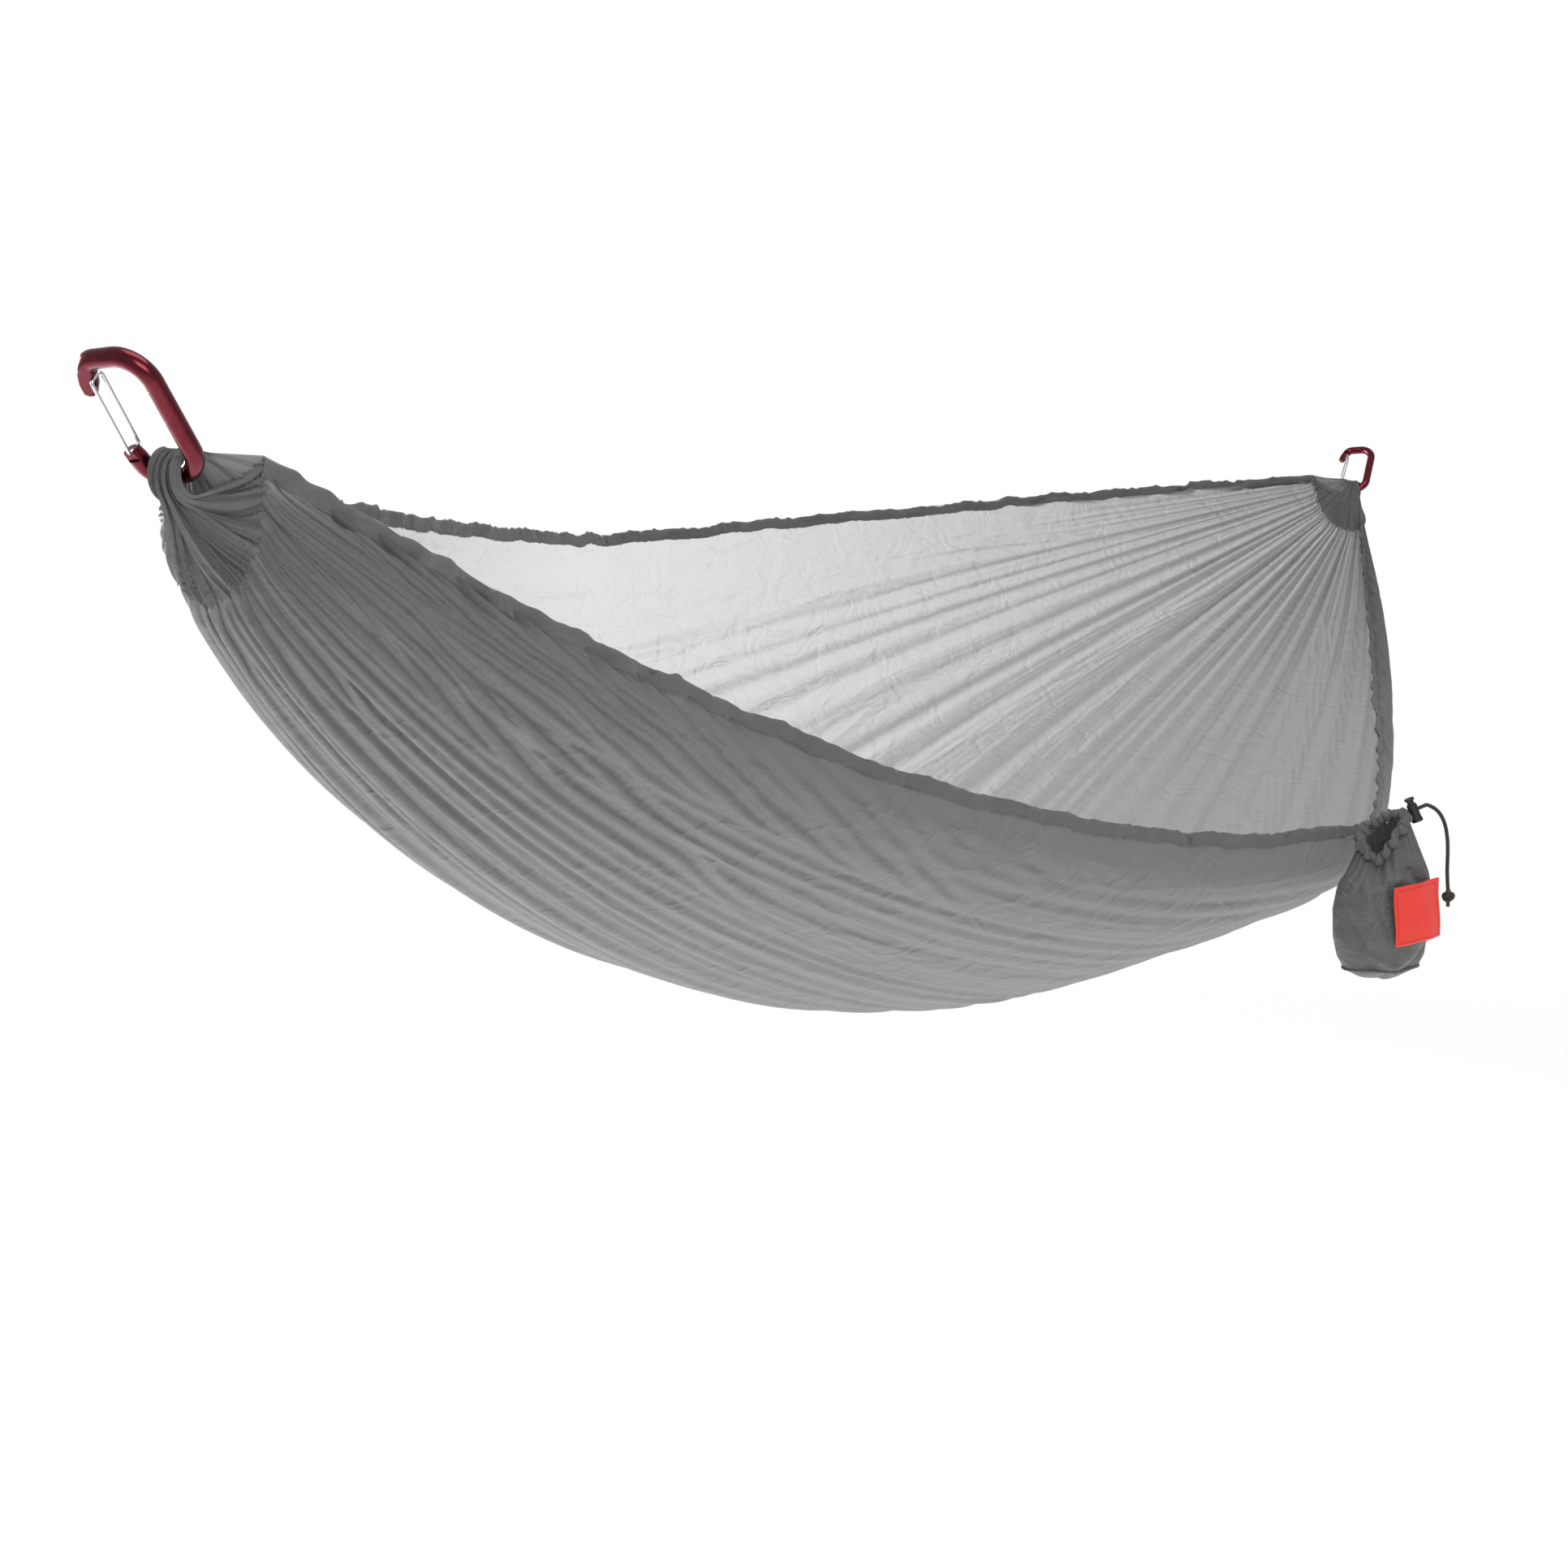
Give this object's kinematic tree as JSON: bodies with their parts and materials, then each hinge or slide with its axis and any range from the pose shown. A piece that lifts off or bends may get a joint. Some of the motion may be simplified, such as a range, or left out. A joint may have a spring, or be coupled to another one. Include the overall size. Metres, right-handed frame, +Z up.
{
  "type": "camping hammock",
  "caption": "Gathered-end camping hammock of ripstop nylon with a wire-gate carabiner at each end and a drawcord stuff sack sewn to one long edge.",
  "frame": {"origin": "inside of the left carabiner's top bend, where a suspension strap bears", "axes": "+X along the hammock to the right carabiner, +Y to the far and higher long edge, +Z up"},
  "size_m": [2.4912, 0.8249, 0.4967],
  "materials": {
    "ripstop": "translucent grey ripstop nylon",
    "sack_ripstop": "grey ripstop nylon",
    "thread": "grey polyester thread",
    "webbing": "grey nylon webbing",
    "anodised_metal": "burgundy anodised, polished",
    "gate_steel": "drawn stainless wire",
    "cord": "braided dark cord",
    "label_weave": "red woven label",
    "lock_plastic": "moulded acetal",
    "spring_steel": "spring steel"
  },
  "bodies": {
    "bed": {"bed_fabric": "ripstop", "near_edge_hem": "ripstop", "far_edge_hem": "ripstop", "near_hem_stitching": "thread", "far_hem_stitching": "thread", "left_end_channel": "ripstop", "right_end_channel": "ripstop", "left_channel_stitching": "thread", "right_channel_stitching": "thread", "sack_attachment_tab": "webbing"},
    "left_carabiner": {"left_carabiner_body": "anodised_metal"},
    "left_gate": {"left_gate_wire": "gate_steel"},
    "right_carabiner": {"right_carabiner_body": "anodised_metal"},
    "right_gate": {"right_gate_wire": "gate_steel"},
    "sack": {"sack_body": "sack_ripstop", "sack_base": "sack_ripstop", "sack_base_seam": "sack_ripstop", "sack_mouth_channel": "sack_ripstop", "sack_drawcord": "cord", "drawcord_tail": "cord", "drawcord_knot": "cord", "sack_label": "label_weave", "label_stitching": "thread"},
    "cord_lock": {"cord_lock_barrel": "lock_plastic", "cord_lock_spring": "spring_steel"},
    "lock_button": {"cord_lock_plunger": "lock_plastic"}
  },
  "joints": [
    {"name": "left_carabiner_swivel", "type": "hinge", "parent": "bed", "child": "left_carabiner", "pos_m": [0.04162, 0, -0.0496], "axis": [0, 1, 0], "range_deg": [-30, 30]},
    {"name": "left_gate_hinge", "type": "hinge", "parent": "left_carabiner", "child": "left_gate", "pos_m": [0.0315, 0.0145, -0.03754], "axis": [0.766, 0, 0.6428], "range_deg": [0, 25], "stiffness_Nm_per_rad": 0.3, "springref_deg": -28.65},
    {"name": "right_carabiner_swivel", "type": "hinge", "parent": "bed", "child": "right_carabiner", "pos_m": [2.43551, 0, -0.0496], "axis": [0, 1, 0], "range_deg": [-30, 30]},
    {"name": "right_gate_hinge", "type": "hinge", "parent": "right_carabiner", "child": "right_gate", "pos_m": [2.44564, 0.0145, -0.03754], "axis": [0.766, 0, -0.6428], "range_deg": [0, 25], "stiffness_Nm_per_rad": 0.3, "springref_deg": -28.65},
    {"name": "sack_swing", "type": "hinge", "parent": "bed", "child": "sack", "pos_m": [1.16857, -0.3054, -0.34296], "axis": [1, 0, 0], "range_deg": [-45, 0]},
    {"name": "cord_lock_slide", "type": "slide", "parent": "sack", "child": "cord_lock", "axis": [0.3999, -0.8293, 0.3903], "range_m": [0, 0.003]},
    {"name": "lock_button_press", "type": "slide", "parent": "cord_lock", "child": "lock_button", "axis": [0.1701, -0.3513, -0.9207], "range_m": [0, 0.003], "stiffness_N_per_m": 900, "springref_m": -0.002, "deforming": ["cord_lock_spring"]}
  ]
}
